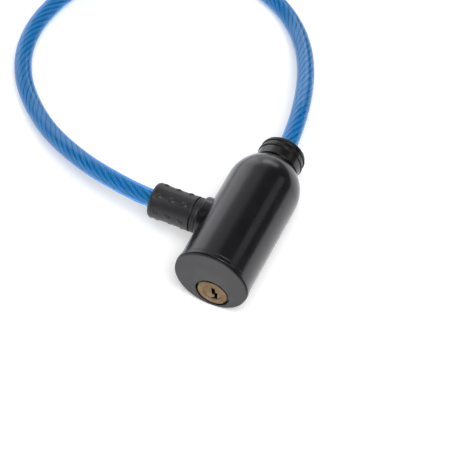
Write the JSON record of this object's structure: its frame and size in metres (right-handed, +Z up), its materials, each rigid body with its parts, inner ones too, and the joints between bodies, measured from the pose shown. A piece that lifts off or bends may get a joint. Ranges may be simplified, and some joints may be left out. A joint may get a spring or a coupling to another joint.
{
  "type": "cable lock",
  "caption": "Key-operated cable lock: a cylindrical barrel with a domed rear end, and a jacketed steel cable that loops from its neck to a plug in its side.",
  "frame": {"origin": "bottom centre of the barrel, on the floor under its middle", "axes": "+Y along the barrel from the front face to the cable neck, +Z up, -X out of the socket towards the plug"},
  "size_m": [0.1591, 0.1793, 0.0328],
  "materials": {
    "black_lacquer": "semi-gloss black lacquer on steel",
    "black_plastic": "glossy black plastic",
    "face_grey": "matte grey",
    "grip_grey": "satin dark grey",
    "seal_rubber": "matte",
    "brass": "satin",
    "zinc": "as cast",
    "steel": "satin",
    "blue_jacket": "translucent blue"
  },
  "bodies": {
    "lock": {"barrel_shell": "black_lacquer", "front_band": "black_lacquer", "face_cap": "face_grey", "neck_collar": "black_plastic", "lock_body": "zinc", "cylinder_housing": "brass", "driver_pins": "steel", "pin_springs": "steel", "chamber_cover": "brass", "latch_spring": "steel", "retaining_pin": "steel", "socket_boss": "black_lacquer", "gland_nut": "steel", "swivel_washer": "steel", "cable_jacket": "blue_jacket", "cable_rope": "steel"},
    "key": {"key_plug": "brass", "key_pins": "brass", "plug_clip": "steel", "drive_cam": "steel"},
    "latch": {"latch": "steel"},
    "plug": {"lock_pin": "steel", "pin_collar": "grip_grey", "seal_ring": "seal_rubber", "grip_sleeve": "grip_grey", "pin_ferrule": "steel"},
    "swivel": {"cable_ferrule": "steel"}
  },
  "joints": [
    {"name": "key_turn", "type": "hinge", "parent": "lock", "child": "key", "pos_m": [0.00079, -0.0255, 0.00884], "axis": [0, 1, 0], "range_deg": [0, 90]},
    {"name": "latch_slide", "type": "slide", "parent": "lock", "child": "latch", "axis": [0, 0, 1], "range_m": [0, 0.0018], "deforming": ["latch_spring"]},
    {"name": "plug_slide", "type": "slide", "parent": "lock", "child": "plug", "axis": [-1, 0, 0], "range_m": [0, 0.026], "deforming": ["cable_jacket", "cable_rope"]},
    {"name": "cable_swivel", "type": "hinge", "parent": "lock", "child": "swivel", "pos_m": [0, 0.013, 0.0164], "axis": [0, 1, 0], "continuous": true}
  ],
  "couplings": [
    {"joint": "latch_slide", "follows": "key_turn", "m_per_rad": 0.001145}
  ]
}
